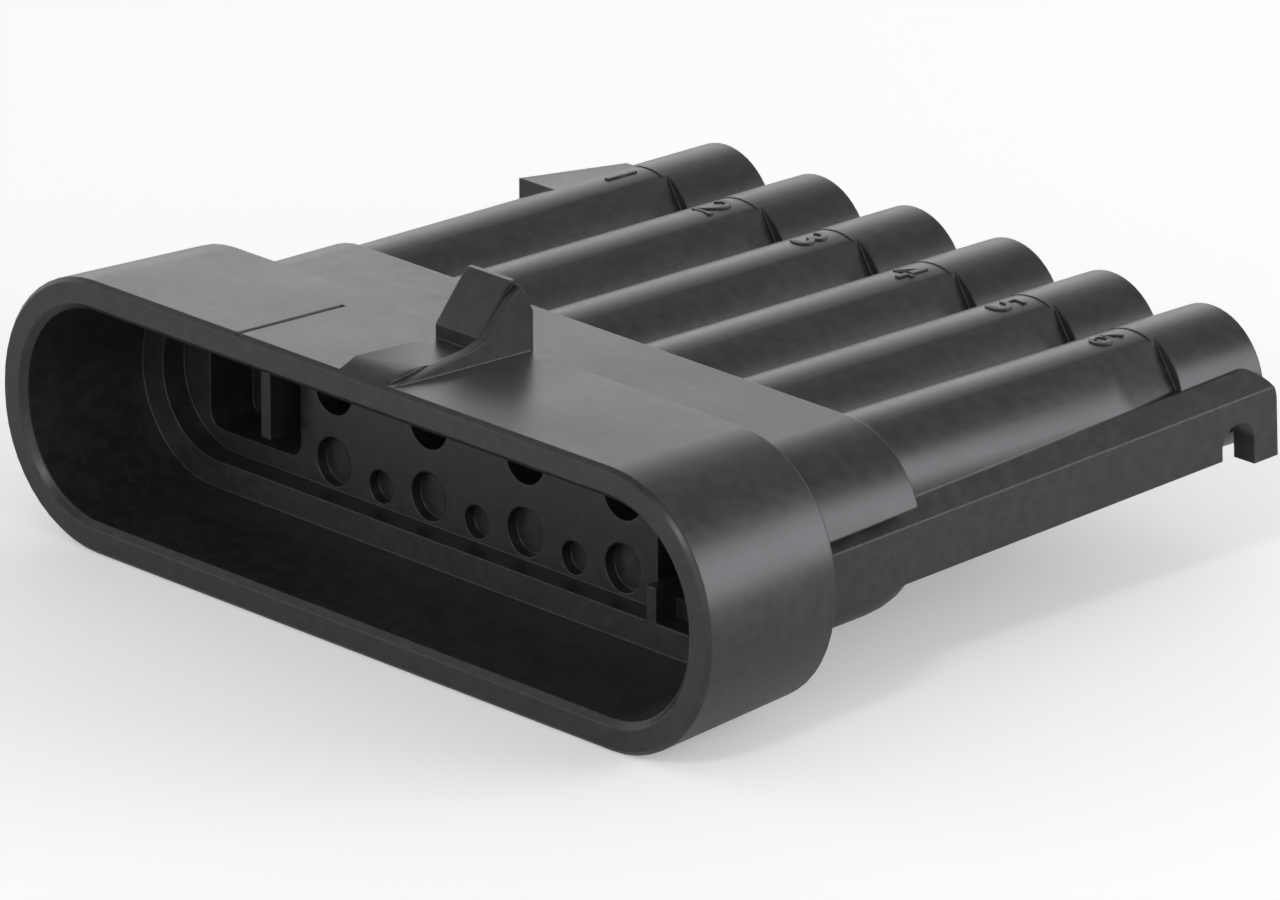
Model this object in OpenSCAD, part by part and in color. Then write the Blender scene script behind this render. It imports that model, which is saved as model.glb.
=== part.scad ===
// Shroud half of an in-line sealed wire connector: one black moulding.
// X runs along the row of cavities, +Y from the mating mouth to the wire end, +Z up.
// The origin lies in the plane of the mouth, level with the cavity axes.

/* [Row of cavities] */
// Number of terminal cavities side by side
cavities = 6; // [2:1:8]
// Distance between neighbouring cavity axes
pitch = 7; // [6.9:0.05:7.6]
// Outer diameter of a cavity tube
tube_d = 7.14; // [7:0.02:7.6]
// Length of the tubes behind the collar
tube_len = 24.8; // [18:0.2:34]
// Length of the slightly fuller sleeve at the wire end of a tube
sleeve_len = 5.6; // [3:0.2:8]
// How far the sleeve stands out all round
sleeve_step = 0.04; // [0.02:0.01:0.15]

/* [Cavity bores] */
// Bore that takes the wire seal
seal_bore_d = 5.4; // [4.8:0.05:5.8]
// Depth of the wire seal bore
seal_bore_len = 9.5; // [6:0.25:14]
// Chamber that takes the terminal body
chamber_d = 4.2; // [3.6:0.05:4.6]
// Passage for the contact pin into the mouth
pin_passage_d = 2.8; // [2:0.05:3.2]
// Length of the pin passage
pin_passage_len = 3.4; // [2:0.1:6]
// Lead-in chamfer at the mouth of a seal bore
seal_lead_in = 0.3; // [0.1:0.05:0.5]

/* [Shroud] */
// Length of the shroud over the mating mouth
shroud_len = 9.3; // [8.9:0.1:11]
// How far the mouth stands out past the outer tubes, each side
mouth_side = 4.6; // [4:0.1:6]
// How far the mouth stands above the tubes
mouth_rise = 1.9; // [1.7:0.1:3]
// How far the mouth reaches below the cavity axes
mouth_drop = 8.8; // [8.2:0.1:10]
// Corner radius of the mouth outside
mouth_corner = 6.9; // [5:0.1:7]
// How much each side of the shroud draws in towards the wire end
side_taper = 0.9; // [0.4:0.05:1.2]
// How much the top of the shroud draws in
top_taper = 0.2; // [0.05:0.05:0.4]
// How much the underside of the shroud draws in
under_taper = 0.45; // [0.1:0.05:0.7]
// Chamfer round the outer edge of the mouth
lip_chamfer = 0.22; // [0.1:0.02:0.4]

/* [Mouth cavity] */
// Wall thickness at the rim of the mouth
rim_wall = 1.6; // [1.2:0.05:1.9]
// Lead-in chamfer inside the rim
rim_lead_in = 0.3; // [0.1:0.05:0.6]
// Depth of the ledge that the mating nose stops at
ledge_depth = 7.2; // [6:0.1:7.6]
// How much each side of the cavity draws in down to the ledge
cavity_side_taper = 0.75; // [0.2:0.05:1]
// How much the underside of the cavity draws in down to the ledge
cavity_under_taper = 0.42; // [0.1:0.02:0.8]
// Width of the ledge at the sides
ledge_side = 1.55; // [1:0.05:2]
// Width of the ledge above the opening
ledge_above = 1.1; // [0.8:0.05:1.5]
// Width of the ledge below the opening
ledge_below = 1.45; // [1:0.05:1.8]
// Corner radius of the opening inside the ledge
opening_r = 3.95; // [2.5:0.05:3.95]
// Depth from the ledge down to the floor
floor_depth = 1.4; // [1:0.1:1.6]
// Depth of the two end wells below the floor
well_depth = 2.8; // [1.5:0.1:3]
// Width of an end well along the row
well_w = 6.8; // [5:0.1:7]
// How far the wells stay inside the opening's edge
well_inset = 1; // [0.8:0.1:1.6]
// Corner radius of the wells
well_r = 0.8; // [0.4:0.1:1.5]
// Thickness of the two keying fins
fin_t = 0.7; // [0.5:0.05:1]
// Height of the lower fin
low_fin_h = 1.8; // [1:0.1:2.6]
// Height of the hanging fin
high_fin_h = 6; // [4:0.1:6.6]
// Diameter of the larger relief pockets in the floor, one below each inner cavity
relief_large_d = 2.5; // [1.8:0.1:3]
// Diameter of the smaller relief pockets, between two cavities
relief_small_d = 1.7; // [1:0.1:2]
// Distance of the relief pockets from the lower edge of the opening
relief_inset = 0.2; // [0.1:0.05:0.6]
// Depth of the relief pockets
relief_depth = 0.6; // [0.3:0.05:0.65]

/* [Collar] */
// Length of the collar behind the shroud
collar_len = 7.7; // [6:0.1:10]
// How far the collar stands out past the outer tubes
collar_side = 1.65; // [1.2:0.05:2.2]
// How much each side of the collar draws in towards the wire end
collar_taper = 0.1; // [0.05:0.05:0.3]
// How far the collar stands above the tubes
collar_rise = 0.2; // [0.1:0.05:0.8]
// Radius of the collar's upper corners
collar_corner = 5; // [3:0.1:5.4]
// Chamfer round the rear edge of the collar
collar_chamfer = 0.15; // [0.05:0.05:0.3]

/* [Lower half] */
// Height of the parting line at the mouth, below the cavity axes
parting_drop = 0.5; // [0.2:0.05:0.9]
// Angle at which the lower half rises towards the wire end, in degrees
lower_angle = 2.75; // [0:0.25:3.5]
// How far the side skirts stand out past the outer tubes
skirt_side = 0.9; // [0.7:0.05:1.4]
// Height of the skirts
skirt_h = 3.9; // [3.6:0.1:4.4]
// Thickness of the skirts
skirt_t = 1.4; // [1.1:0.05:1.8]
// Chamfer along the top of the skirts
skirt_chamfer = 1; // [0.6:0.05:1.1]
// Radius of the skirts' upper corner at the wire end
skirt_end_r = 1.7; // [0.8:0.1:2]
// Depth of the belly below the skirts under the collar
belly_drop = 1.35; // [0.6:0.05:2]
// Radius of the belly's long edges
belly_r = 1.4; // [0.8:0.1:1.8]
// Length over which the belly rounds up to the skirts at its rear
belly_run = 2.8; // [1.5:0.1:4]
// Thickness of the web that ties the tubes together
web_t = 1.2; // [0.9:0.1:1.6]

/* [Rear lock features] */
// Width of the hinge notch under each skirt
notch_w = 2.2; // [1.6:0.1:2.6]
// Height of the hinge notch
notch_h = 1.65; // [1:0.05:2.2]
// Thickness of the hook behind the notch
hook_t = 1.65; // [1.2:0.05:2.4]
// How far the hook hangs below the skirt
hook_drop = 0.75; // [0.4:0.05:1.2]
// Length of the sloped lock flats cut into the tubes' shoulders
flat_len = 6.7; // [4:0.1:9]
// How deep the lock flats are at their rear shoulder
flat_depth = 0.72; // [0.3:0.02:0.9]
// Half the opening angle of the lock flats, from the vertical
flat_angle = 39.3; // [30:0.1:50]
// How far the side catch stands out past the first tube's axis
catch_reach = 3.4; // [2.6:0.1:3.8]
// How far the side catch still stands out at its rear end
catch_toe = 1.5; // [0.6:0.1:2.2]
// Length of the side catch
catch_len = 5.7; // [4:0.1:8]
// Height of the side catch above the cavity axes
catch_h = 3.5; // [2.5:0.1:3.6]

/* [Latch nib] */
// Width of the latch nib
nib_w = 3.05; // [2:0.05:5]
// Offset of the nib from the middle of the row
nib_offset = 1.3; // [-4:0.1:4]
// Height of the nib above the shroud
nib_h = 3.65; // [2.5:0.05:4]
// Height of the upright face in front of the nib's ramp
nib_step = 1.2; // [0.6:0.05:1.6]
// Length of the nib's foot along the connector
nib_len = 3.1; // [2.6:0.05:4]
// How far behind its foot's front edge the nib peaks
nib_peak = 2.1; // [1.4:0.05:2.4]
// Length of the steeper lip just before the peak
nib_lip = 0.5; // [0.2:0.05:0.8]
// How far the nib's back slopes down to its rear face
nib_fall = 1.4; // [0.6:0.05:2]
// Height of the raised track in front of the nib
track_h = 0.45; // [0.2:0.05:0.7]
// Length of the ramp that leads up on to the track
track_ramp = 1.3; // [0.6:0.1:2]
// Thickness of the guide rail beside the track
rail_t = 0.55; // [0.4:0.05:0.8]
// Height of the guide rail where it meets the nib
rail_h = 0.9; // [0.6:0.05:1.2]
// How far the rail's top stays below the nib's own edge
rail_drop = 0.2; // [0.05:0.05:0.5]
// Width of the shallow groove in the top of the shroud
groove_w = 0.3; // [0.2:0.05:0.6]
// Depth of the groove
groove_depth = 0.12; // [0.05:0.01:0.3]
// Length of the groove from the mouth
groove_len = 7; // [4:0.1:8]
// Distance of the groove from the nib's left side
groove_gap = 7.6; // [4:0.1:10]

/* [Hidden] */

tube_r = tube_d / 2;
row_half = (cavities - 1) * pitch / 2 + tube_r;
axes_x = [for (i = [0 : cavities - 1]) (i - (cavities - 1) / 2) * pitch];
collar_end = shroud_len + collar_len;
rear = collar_end + tube_len;
sleeve_start = rear - sleeve_len;

mouth_half = row_half + mouth_side;
mouth_top = tube_r + mouth_rise;
deck = mouth_top - top_taper;

ledge_half = mouth_half - rim_wall - cavity_side_taper;
ledge_top = mouth_top - rim_wall;
ledge_low = rim_wall - mouth_drop + cavity_under_taper;
opening_half = ledge_half - ledge_side;
opening_top = ledge_top - ledge_above;
opening_low = ledge_low + ledge_below;
floor_y = ledge_depth + floor_depth;
key_x = (cavities - 2) * pitch / 2;

skirt_x = row_half + skirt_side;
skirt_end = rear / cos(lower_angle);

nib_x0 = nib_offset - nib_w / 2;
nib_x1 = nib_offset + nib_w / 2;
nib_front = shroud_len - nib_len;
nib_crest = nib_front + nib_peak;

lap = 0.3;
fine = 72;
smooth = 48;

// A disc that faces along Y
module disc(y, r) {
    translate([0, y, 0]) rotate([-90, 0, 0]) cylinder(r = r, h = 0.01, $fn = smooth);
}

// A smooth skin through rounded outlines, each given as
// [y, half width, top, bottom, upper corner radius, lower corner radius]
module loft(sections) {
    hull()
        for (s = sections)
            for (side = [-1, 1]) {
                translate([side * (s[1] - s[4]), 0, s[2] - s[4]]) disc(s[0], s[4]);
                translate([side * (s[1] - s[5]), 0, s[3] + s[5]]) disc(s[0], s[5]);
            }
}

// An outline drawn in the side view, points as [y, z], carried from x0 to x1
module side_plate(x0, x1) {
    translate([x0, 0, 0]) rotate([90, 0, 90]) linear_extrude(x1 - x0) children();
}

// A straight round rod along Y
module rod(x, y0, y1, r) {
    translate([x, y0, 0]) rotate([-90, 0, 0]) cylinder(r = r, h = y1 - y0, $fn = fine);
}

// A rounded opening seen along the bore, carried straight from y0 to y1
module rounded_bore(y0, y1, left, right, low, top, r) {
    translate([0, y1, 0]) rotate([90, 0, 0]) linear_extrude(y1 - y0) {
        translate([left + r, low]) square([right - left - 2 * r, top - low]);
        translate([left, low + r]) square([right - left, top - low - 2 * r]);
        for (x = [left + r, right - r])
            for (z = [low + r, top - r])
                translate([x, z]) circle(r = r, $fn = smooth);
    }
}

// The lower half is drawn level in its own frame and rises towards the wire end
module lower_frame() {
    translate([0, 0, -parting_drop]) rotate([lower_angle, 0, 0]) children();
}

module shroud_skin() {
    back = shroud_len - lip_chamfer;
    loft([
        [0, mouth_half - lip_chamfer, mouth_top - lip_chamfer, lip_chamfer - mouth_drop,
            mouth_corner - lip_chamfer, mouth_corner - lip_chamfer],
        [lip_chamfer, mouth_half, mouth_top, -mouth_drop, mouth_corner, mouth_corner],
        [back, mouth_half - side_taper, mouth_top - top_taper, under_taper - mouth_drop,
            mouth_corner - under_taper, mouth_corner - under_taper],
        [shroud_len, mouth_half - side_taper - lip_chamfer, mouth_top - top_taper - lip_chamfer,
            under_taper + lip_chamfer - mouth_drop, mouth_corner - under_taper - lip_chamfer,
            mouth_corner - under_taper - lip_chamfer]
    ]);
}

module collar_skin() {
    half = row_half + collar_side;
    top = tube_r + collar_rise;
    low = -parting_drop - skirt_h;
    back = collar_end - collar_chamfer;
    intersection() {
        loft([
            [shroud_len - lap, half, top, low, collar_corner, collar_chamfer],
            [back, half - collar_taper, top, low, collar_corner, collar_chamfer],
            [collar_end, half - collar_taper - collar_chamfer, top - collar_chamfer, low,
                collar_corner - collar_chamfer, collar_chamfer]
        ]);
        lower_frame() translate([-mouth_half, 0, 0]) cube([2 * mouth_half, rear, 2 * mouth_top]);
    }
}

// Rounded underside below the collar, from the shroud back to the skirts
module belly() {
    lower_frame()
        loft(concat(
            [[shroud_len - lap, skirt_x, -skirt_chamfer, -skirt_h - belly_drop, lap, belly_r]],
            [for (t = [0, 0.35, 0.65, 0.87, 1])
                [collar_end - (1 - t) * belly_run, skirt_x, -skirt_chamfer,
                    -skirt_h - belly_drop * sqrt(1 - t * t), lap, belly_r]]
        ));
    // core that joins the belly to the collar above the parting line
    lower_frame()
        translate([-row_half, shroud_len - lap, -2 * skirt_chamfer])
            cube([2 * row_half, collar_len + lap, 2 * skirt_chamfer + lap]);
}

// The tubes, with the fuller sleeve at the wire end
module tubes() {
    for (x = axes_x) {
        rod(x, shroud_len, rear, tube_r);
        rod(x, sleeve_start, rear, tube_r + sleeve_step);
    }
}

// V cuts in the valleys between the tubes: from nothing they sink to a shoulder at the sleeves
module lock_flats() {
    fall = atan(flat_depth / flat_len);
    rise = tube_r * cos(flat_angle) / sin(flat_angle);
    apex = (tube_r - pitch / 2 * cos(flat_angle)) / sin(flat_angle);
    for (x = axes_x)
        translate([x + pitch / 2, sleeve_start - flat_len, apex])
            rotate([-fall, 0, 0])
                rotate([90, 0, 180])
                    linear_extrude(flat_len / cos(fall))
                        polygon([[0, 0], [tube_r, rise], [-tube_r, rise]]);
}

// Wedge on the outer side of the first tube for the snap-on rear lock
module side_catch() {
    x = axes_x[0];
    linear_extrude(catch_h)
        polygon([
            [x, sleeve_start - catch_len], [x - catch_reach, sleeve_start - catch_len],
            [x - catch_toe, sleeve_start], [x, sleeve_start]
        ]);
}

// Side view of a skirt, level in the lower half's frame
module skirt_outline() {
    start = shroud_len - lap;
    hook_start = skirt_end - hook_t;
    difference() {
        union() {
            translate([start, -skirt_h]) square([skirt_end - start, skirt_h]);
            translate([hook_start, -skirt_h - hook_drop]) square([hook_t, skirt_h]);
        }
        // rounded upper corner at the wire end
        translate([skirt_end - skirt_end_r, -skirt_end_r])
            difference() {
                square(2 * skirt_end_r);
                circle(r = skirt_end_r, $fn = smooth);
            }
        // hinge notch with a round top
        translate([hook_start - notch_w / 2, notch_h - skirt_h - notch_w / 2]) {
            circle(d = notch_w, $fn = smooth);
            translate([-notch_w / 2, -skirt_h]) square([notch_w, skirt_h]);
        }
    }
}

module skirt() {
    lower_frame()
        difference() {
            side_plate(skirt_x - skirt_t, skirt_x) skirt_outline();
            // long chamfer on the upper outer edge
            translate([skirt_x, 0, -skirt_chamfer])
                rotate([-90, 0, 0])
                    linear_extrude(rear + notch_w)
                        polygon([[0, 0], [-skirt_chamfer, -skirt_chamfer], [skirt_t, -2 * skirt_chamfer], [skirt_t, 0]]);
        }
}

module skirts() {
    skirt();
    mirror([1, 0, 0]) skirt();
}

// Web that ties the tubes to each other, level with their axes
module web() {
    translate([-row_half + tube_r, shroud_len, -web_t])
        cube([2 * (row_half - tube_r), rear - shroud_len - lap, web_t]);
}

module nib() {
    side_plate(nib_x0, nib_x1)
        polygon([
            [nib_front, deck - 1], [nib_front, deck + nib_step],
            [nib_crest - nib_lip, deck + nib_h - nib_lip], [nib_crest, deck + nib_h],
            [nib_crest + lap, deck + nib_h], [shroud_len, deck + nib_h - nib_fall], [shroud_len, deck - 1]
        ]);
}

// Raised pad that leads from the mouth up to the nib
module track() {
    side_plate(nib_x0 - lap, nib_x1)
        polygon([
            [lip_chamfer, deck - 1], [lip_chamfer, mouth_top], [track_ramp, mouth_top + track_h],
            [nib_front + lap, deck + track_h], [nib_front + lap, deck - 1]
        ]);
}

// Rail on the right of the track, rising from the rim and sweeping up the nib
module rail() {
    side_plate(nib_x1, nib_x1 + rail_t)
        polygon([
            [lip_chamfer, deck - 1], [lip_chamfer, mouth_top], [nib_front - rail_h, deck + rail_h],
            [nib_front, deck + nib_step], [nib_crest - nib_lip, deck + nib_h - nib_lip - rail_drop],
            [nib_crest + lap, deck + nib_h - rail_drop],
            [shroud_len, deck + nib_h - nib_fall - rail_drop], [shroud_len, deck - 1]
        ]);
}

module deck_groove() {
    translate([nib_x0 - groove_gap - groove_w / 2, 0, mouth_top])
        rotate([-atan(top_taper / shroud_len), 0, 0])
            translate([0, -1, -groove_depth]) cube([groove_w, groove_len + 1, 1]);
}

// Space inside the rim, down to the ledge
module outer_cavity() {
    half = mouth_half - rim_wall;
    low = rim_wall - mouth_drop;
    corner = mouth_corner - rim_wall;
    flare = rim_lead_in + 1;
    loft([
        [-1, half + flare, ledge_top + flare, low - flare, corner + flare, corner + flare],
        [rim_lead_in, half, ledge_top, low, corner, corner]
    ]);
    loft([
        [0, half, ledge_top, low, corner, corner],
        [ledge_depth, ledge_half, ledge_top, ledge_low, corner, corner]
    ]);
}

// Opening from the ledge to the floor and the end wells, with the two keying fins left standing
module inner_cavity() {
    low = opening_low + well_inset;
    top = opening_top - well_inset;
    well_end = opening_half - well_inset;
    difference() {
        union() {
            rounded_bore(ledge_depth - lap, floor_y,
                -opening_half, opening_half, opening_low, opening_top, opening_r);
            rounded_bore(floor_y - lap, floor_y + well_depth,
                well_end - well_w - well_inset, well_end - well_inset, low, top, well_r);
            rounded_bore(floor_y - lap, floor_y + well_depth,
                well_inset - well_end, well_inset + well_w - well_end, low, top, well_r);
        }
        translate([-key_x - fin_t / 2, ledge_depth, opening_top - high_fin_h])
            cube([fin_t, floor_depth + well_depth + lap, high_fin_h + lap]);
        translate([key_x - fin_t / 2, ledge_depth, opening_low - lap])
            cube([fin_t, floor_depth + well_depth + lap, low_fin_h + lap]);
    }
}

// Shallow round pocket in the floor, standing on the given height
module relief_pocket(x, d) {
    translate([x, floor_y - lap, opening_low + relief_inset + d / 2])
        rotate([-90, 0, 0]) cylinder(d = d, h = relief_depth + lap, $fn = smooth);
}

module relief_pockets() {
    for (i = [1 : cavities - 2]) relief_pocket(axes_x[i], relief_large_d);
    for (i = [1 : cavities - 3]) relief_pocket(axes_x[i] + pitch / 2, relief_small_d);
}

// Seal bore, terminal chamber and pin passage of every cavity
module cavity_bores() {
    for (x = axes_x) {
        rod(x, rear - seal_bore_len, rear + 1, seal_bore_d / 2);
        rod(x, floor_y + pin_passage_len, rear - seal_bore_len + lap, chamber_d / 2);
        rod(x, floor_y - lap, floor_y + pin_passage_len + lap, pin_passage_d / 2);
        translate([x, rear + 0.01, 0])
            rotate([90, 0, 0])
                cylinder(r1 = seal_bore_d / 2 + seal_lead_in, r2 = seal_bore_d / 2, h = seal_lead_in, $fn = fine);
    }
}

module housing() {
    color("#26272a")
        difference() {
            union() {
                shroud_skin();
                collar_skin();
                belly();
                difference() {
                    tubes();
                    lock_flats();
                }
                side_catch();
                skirts();
                web();
                nib();
                track();
                rail();
            }
            outer_cavity();
            inner_cavity();
            relief_pockets();
            cavity_bores();
            deck_groove();
        }
}

housing();
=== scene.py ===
# %% [markdown]
# # The shroud half of a sealed wire connector
# The real object is one black nylon moulding: an oblong mouth, a flat deck with a latch nib, a collar and a
# row of six round tubes. Its construction comes from the CAD frame, which is loaded first and never changed.
# This lesson dresses it: camera, light, the moulded finish, and the small raised figures on the tubes.

import math

import bpy
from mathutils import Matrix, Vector


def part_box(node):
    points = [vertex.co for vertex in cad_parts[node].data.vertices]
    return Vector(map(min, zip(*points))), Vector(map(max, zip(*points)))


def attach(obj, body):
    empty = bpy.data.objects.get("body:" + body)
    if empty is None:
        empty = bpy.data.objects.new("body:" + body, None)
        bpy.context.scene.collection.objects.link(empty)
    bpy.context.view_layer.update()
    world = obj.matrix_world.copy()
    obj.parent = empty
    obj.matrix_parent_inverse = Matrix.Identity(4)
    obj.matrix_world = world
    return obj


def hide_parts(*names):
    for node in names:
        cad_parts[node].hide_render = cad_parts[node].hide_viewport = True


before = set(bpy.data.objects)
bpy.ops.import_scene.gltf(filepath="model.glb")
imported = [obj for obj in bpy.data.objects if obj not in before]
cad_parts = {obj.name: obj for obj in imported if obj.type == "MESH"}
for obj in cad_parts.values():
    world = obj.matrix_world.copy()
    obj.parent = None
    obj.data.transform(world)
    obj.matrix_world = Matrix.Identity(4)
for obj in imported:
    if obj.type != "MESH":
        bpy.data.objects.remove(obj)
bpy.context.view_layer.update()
MM = 0.001
low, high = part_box("housing")
print("housing from", [round(v / MM, 1) for v in low], "to", [round(v / MM, 1) for v in high], "mm")

# %% [markdown]
# ## Camera
# A long lens keeps the row of tubes nearly parallel. The camera stands to the right of the mouth and a little
# above it, so the azimuth, the elevation, the distance and the point aimed at say everything.

# %% Camera
VIEW_AZIMUTH = math.radians(47.106)
VIEW_ELEVATION = math.radians(19.429)
VIEW_DISTANCE = 581.28 * MM
AIM = Vector((9.37, 10.79, 1.35)) * MM
LENS = 338.78


def direction(azimuth, elevation):
    """Unit vector from the object towards a place round it; azimuth 0 is in front of the mouth."""
    flat = math.cos(elevation)
    return Vector((math.sin(azimuth) * flat, -math.cos(azimuth) * flat, math.sin(elevation)))


camera_data = bpy.data.cameras.new("camera")
camera_data.lens = LENS
camera_data.sensor_width = 36
camera_data.clip_start = 0.01
camera_data.clip_end = 20
camera = bpy.data.objects.new("camera", camera_data)
bpy.context.scene.collection.objects.link(camera)
camera.location = AIM + direction(VIEW_AZIMUTH, VIEW_ELEVATION) * VIEW_DISTANCE
camera.rotation_euler = (AIM - camera.location).to_track_quat("-Z", "Y").to_euler()
bpy.context.scene.camera = camera
bpy.context.scene.view_settings.view_transform = "Standard"
print("camera stands at", [round(v / MM, 1) for v in camera.location], "mm")

# %% [markdown]
# ## A small language for shader nodes
# Patterns read better as sums than as node links. `Socket` wraps an output socket, so `1 - mask * 0.4` adds the
# Math nodes by itself, and `Tree.node` adds any other node from its type, its settings and its inputs.

# %% Shader helper
class Socket:
    def __init__(self, tree, output):
        self.tree = tree
        self.output = output

    def math(self, operation, *others):
        return self.tree.node("Math", {"operation": operation}, dict(enumerate((self,) + others)))

    def __add__(self, other):
        return self.math("ADD", other)

    __radd__ = __add__

    def __mul__(self, other):
        return self.math("MULTIPLY", other)

    __rmul__ = __mul__

    def __sub__(self, other):
        return self.math("SUBTRACT", other)

    def __rsub__(self, other):
        return self.tree.node("Math", {"operation": "SUBTRACT"}, {0: other, 1: self})

    def step(self, start, end):
        """0 below start and 1 above end, with a smooth rise between."""
        return self.tree.node("MapRange", {"interpolation_type": "SMOOTHSTEP"}, {0: self, 1: start, 2: end})


class Tree:
    def __init__(self, owner):
        owner.use_nodes = True
        self.tree = owner.node_tree
        self.tree.nodes.clear()

    def node(self, kind, settings=None, inputs=None, output=0):
        made = self.tree.nodes.new("ShaderNode" + kind)
        for name, value in (settings or {}).items():
            setattr(made, name, value)
        for name, value in (inputs or {}).items():
            if isinstance(value, Socket):
                self.tree.links.new(value.output, made.inputs[name])
            else:
                made.inputs[name].default_value = value
        return Socket(self, made.outputs[output])

    def blend(self, amount, first, second):
        """Colour between first and second."""
        return self.node("Mix", {"data_type": "RGBA"}, {0: amount, 6: first, 7: second}, output=2)

    def finish(self, surface, kind="OutputMaterial"):
        end = self.tree.nodes.new("ShaderNode" + kind)
        self.tree.links.new(surface.output, end.inputs["Surface"])


def grey(level):
    return (level, level, level, 1)


# %% [markdown]
# ## Light and floor
# A white tent: bright at the horizon and dimmer overhead, so that flat tops seen at a low angle turn grey while
# surfaces that face the camera stay near black. One soft box on the right gives the flanks their sheen, a weak
# one behind lifts the crowns of the tubes, and a small lamp over the mouth draws thin lines on rounded edges.

# %% World
world = bpy.data.worlds.new("tent")
bpy.context.scene.world = world
tent = Tree(world)
HORIZON = 1.25
OVERHEAD = 0.36
FALL_START = 0.30
FALL_END = 0.72
up = tent.node("SeparateXYZ", inputs={0: tent.node("TexCoord")}, output=2)
falloff = up.step(FALL_START, FALL_END)
lit = tent.blend(falloff, grey(HORIZON), grey(OVERHEAD))
seen = tent.node("LightPath", output=0)
tent.finish(tent.node("Background", inputs={"Color": tent.blend(seen, lit, grey(1))}), "OutputWorld")


# %% Lamps
def soft_box(name, azimuth, elevation, distance, size, watts, colour=(1, 1, 1)):
    lamp = bpy.data.lights.new(name, "AREA")
    lamp.shape = "RECTANGLE"
    lamp.size, lamp.size_y = size
    lamp.energy = watts
    lamp.color = colour
    holder = bpy.data.objects.new(name, lamp)
    bpy.context.scene.collection.objects.link(holder)
    holder.location = AIM + direction(math.radians(azimuth), math.radians(elevation)) * distance
    holder.rotation_euler = (AIM - holder.location).to_track_quat("-Z", "Y").to_euler()
    print(name, watts, "W")


soft_box("right_soft_box", 135, 16, 0.5, (0.36, 0.26), 1.1, (0.93, 0.95, 1.0))
soft_box("back_soft_box", 226, 18, 0.5, (0.30, 0.22), 0.12)
soft_box("mouth_lamp", 21, 39, 0.6, (0.07, 0.07), 0.5)

# %% Floor
FLOOR_SIZE = 6
bpy.ops.object.select_all(action="DESELECT")
bpy.ops.mesh.primitive_plane_add(size=FLOOR_SIZE, location=(0, 0, low[2]))
floor = bpy.context.object
floor.name = "floor"
paper = bpy.data.materials.new("white_paper")
sheet = Tree(paper)
paper_white = sheet.node("BsdfDiffuse", inputs={"Color": grey(0.93)})
# lifts the paper towards white for the camera alone, so it adds no light to the object
glow = sheet.blend(sheet.node("LightPath", output=0), grey(0), grey(0.24))
lift = sheet.node("Emission", inputs={"Color": glow})
sheet.finish(sheet.node("AddShader", inputs={0: paper_white, 1: lift}))
floor.data.materials.append(paper)

# %% [markdown]
# ## Moulded nylon
# Glass-filled nylon fresh from the mould is almost black, with a satin skin. Three things keep it from looking
# like paint: a fine grain that breaks up the reflections, a slow drift in roughness, and edges that a mould
# never leaves quite sharp. The edges are rounded in the shading by a Bevel node.


# %% Nylon
def moulded_nylon(name):
    material = bpy.data.materials.new(name)
    skin = Tree(material)
    place = skin.node("TexCoord", output=3)
    grain = skin.node("TexNoise", inputs={"Vector": place, "Scale": 5200, "Detail": 3, "Roughness": 0.6})
    drift = skin.node("TexNoise", inputs={"Vector": place, "Scale": 160, "Detail": 2})
    mottle = skin.node("TexNoise", inputs={"Vector": place, "Scale": 1500, "Detail": 2})
    rounded = skin.node("Bevel", {"samples": 6}, {"Radius": 0.13 * MM})
    height = grain * 0.6 + mottle * 0.4
    normal = skin.node("Bump", inputs={
        "Strength": 0.12, "Distance": 0.02 * MM, "Height": height, "Normal": rounded})
    colour = skin.blend(mottle.step(0.35, 0.7), (0.014, 0.014, 0.015, 1), (0.022, 0.022, 0.0235, 1))
    rough = 0.3 + drift * 0.1 + (mottle - 0.5) * 0.1
    shader = skin.node("BsdfPrincipled", inputs={
        "Base Color": colour, "Roughness": rough, "IOR": 1.5, "Normal": normal})
    skin.finish(shader)
    return material


nylon = moulded_nylon("moulded_nylon")
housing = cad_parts["housing"]
for slot in housing.material_slots:
    slot.material = nylon
print("housing has", len(housing.data.polygons), "triangles")

# %% [markdown]
# ## A smooth skin
# The frame's mesh is a loose set of flat triangles. A copy with its points merged can be shaded smooth where the
# moulding is round, and it takes the place of the flat one in the picture.

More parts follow.
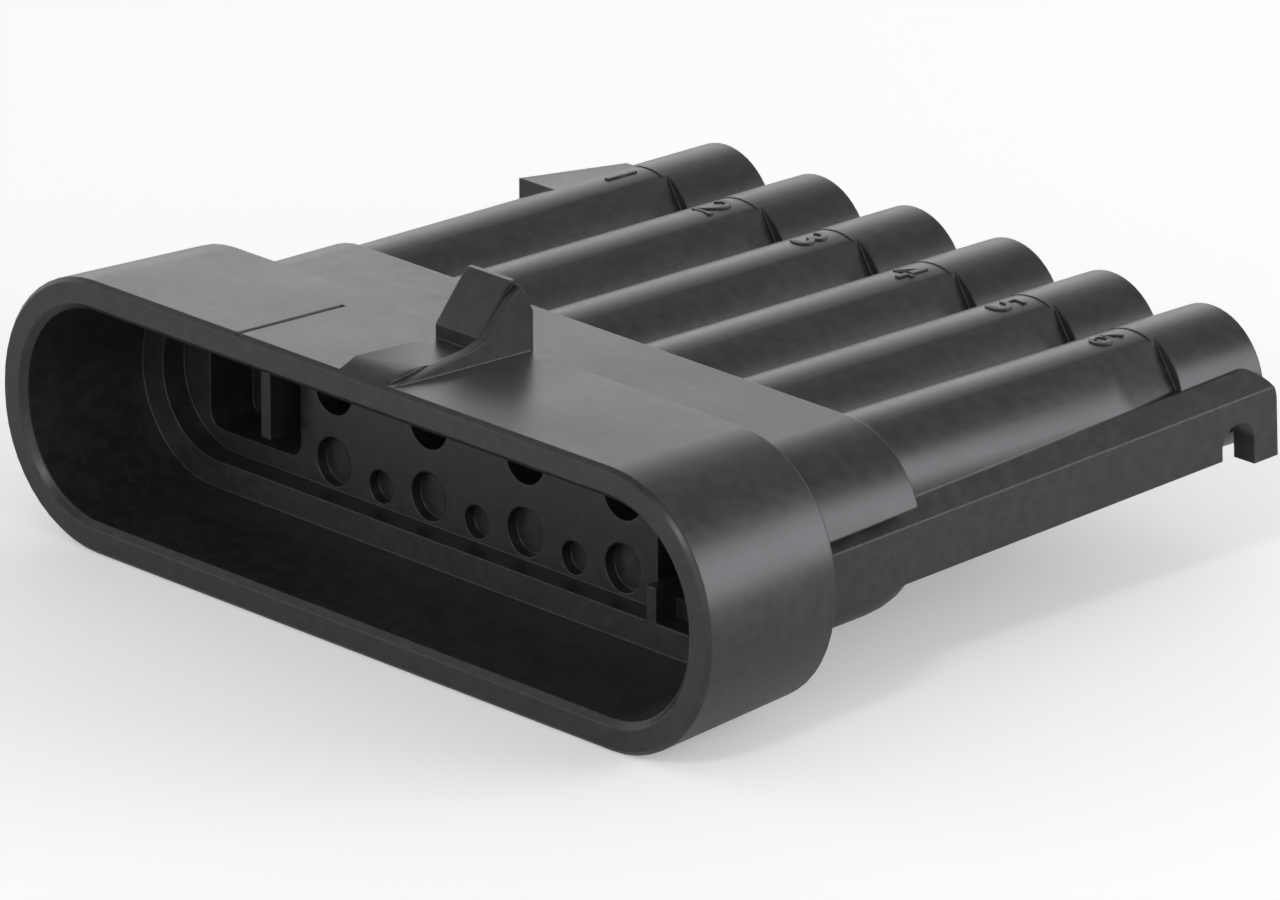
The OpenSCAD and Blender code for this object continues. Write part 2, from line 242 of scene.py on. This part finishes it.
# %% Smooth copy of the moulding
MERGE_WITHIN = 0.001 * MM
SMOOTH_BELOW = 28
bpy.ops.object.select_all(action="DESELECT")
skin = bpy.data.objects.new("moulded_skin", housing.data.copy())
bpy.context.scene.collection.objects.link(skin)
skin.data.transform(housing.matrix_world)
bpy.context.view_layer.objects.active = skin
skin.select_set(True)
bpy.ops.mesh.customdata_custom_splitnormals_clear()
bpy.ops.object.mode_set(mode="EDIT")
bpy.ops.mesh.select_all(action="SELECT")
bpy.ops.mesh.remove_doubles(threshold=MERGE_WITHIN)
bpy.ops.mesh.normals_make_consistent(inside=False)
bpy.ops.object.mode_set(mode="OBJECT")
bpy.ops.object.shade_smooth_by_angle(angle=math.radians(SMOOTH_BELOW))
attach(skin, "root")
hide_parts("housing")
print("smooth skin has", len(skin.data.vertices), "points")

# %% [markdown]
# ## Raised figures on the tubes
# Each cavity carries its plain number on the crown of its tube, just in front of the sleeve.

# %% Cavity figures
CAVITIES = 6
PITCH = 7 * MM
TUBE_RADIUS = 3.57 * MM
FIGURE_HEIGHT = 2.1 * MM
FIGURE_PLACE = 34.3 * MM
FIGURE_HALF_THICKNESS = 0.1 * MM
FIGURE_SINK = 0.02 * MM
FONT_SIZE = 1.4 * FIGURE_HEIGHT
for i in range(CAVITIES):
    bpy.ops.object.select_all(action="DESELECT")
    bpy.ops.object.text_add(location=(0, 0, 0))
    figure = bpy.context.object
    figure.name = "cavity_figure_" + str(i + 1)
    figure.data.body = str(i + 1)
    figure.data.size = FONT_SIZE
    figure.data.align_x = "CENTER"
    figure.data.align_y = "CENTER"
    figure.data.extrude = FIGURE_HALF_THICKNESS
    bpy.ops.object.convert(target="MESH")
    axis_x = (i - (CAVITIES - 1) / 2) * PITCH
    figure.location = (axis_x, FIGURE_PLACE, TUBE_RADIUS - FIGURE_SINK)
    bpy.ops.object.transform_apply(location=True, rotation=True, scale=True)
    # each point drops to the round of the tube, so that the figure wraps it
    for point in figure.data.vertices:
        across = point.co.x - axis_x
        point.co.z -= TUBE_RADIUS - math.sqrt(TUBE_RADIUS ** 2 - across ** 2)
    figure.data.materials.append(nylon)
    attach(figure, "root")
figure_rise = (FIGURE_HALF_THICKNESS - FIGURE_SINK) / MM
print(CAVITIES, "figures stand", round(figure_rise, 2), "mm proud of the tubes")
